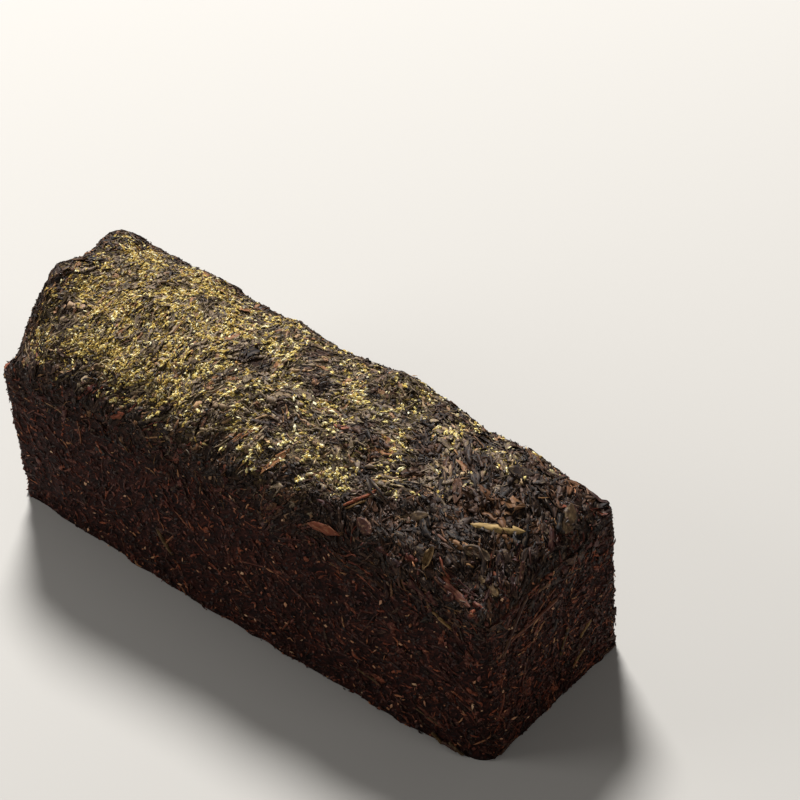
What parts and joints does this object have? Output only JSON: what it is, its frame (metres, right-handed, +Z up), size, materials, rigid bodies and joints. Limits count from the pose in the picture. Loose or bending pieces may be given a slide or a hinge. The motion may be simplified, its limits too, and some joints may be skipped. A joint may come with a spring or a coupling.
{
  "type": "fu brick tea",
  "caption": "Loaf-shaped brick of pressed dark tea leaves with upright walls and a domed, leafy crown flecked with golden bloom.",
  "frame": {"origin": "middle of the bounding box at the foot of the brick, on the surface that it stands on", "axes": "+X along the brick towards its lower, rounder end; +Y across it towards its leaning back wall; +Z up through the domed crown"},
  "size_m": [0.2474, 0.0874, 0.0964],
  "materials": {
    "pressed_tea": "dry, matte, fibrous, with a faint sheen on the flat leaf faces",
    "golden_bloom": "powdery, matte",
    "stalks": "dry, matte"
  },
  "bodies": {
    "root": {"tea_brick": "pressed_tea"}
  },
  "joints": []
}
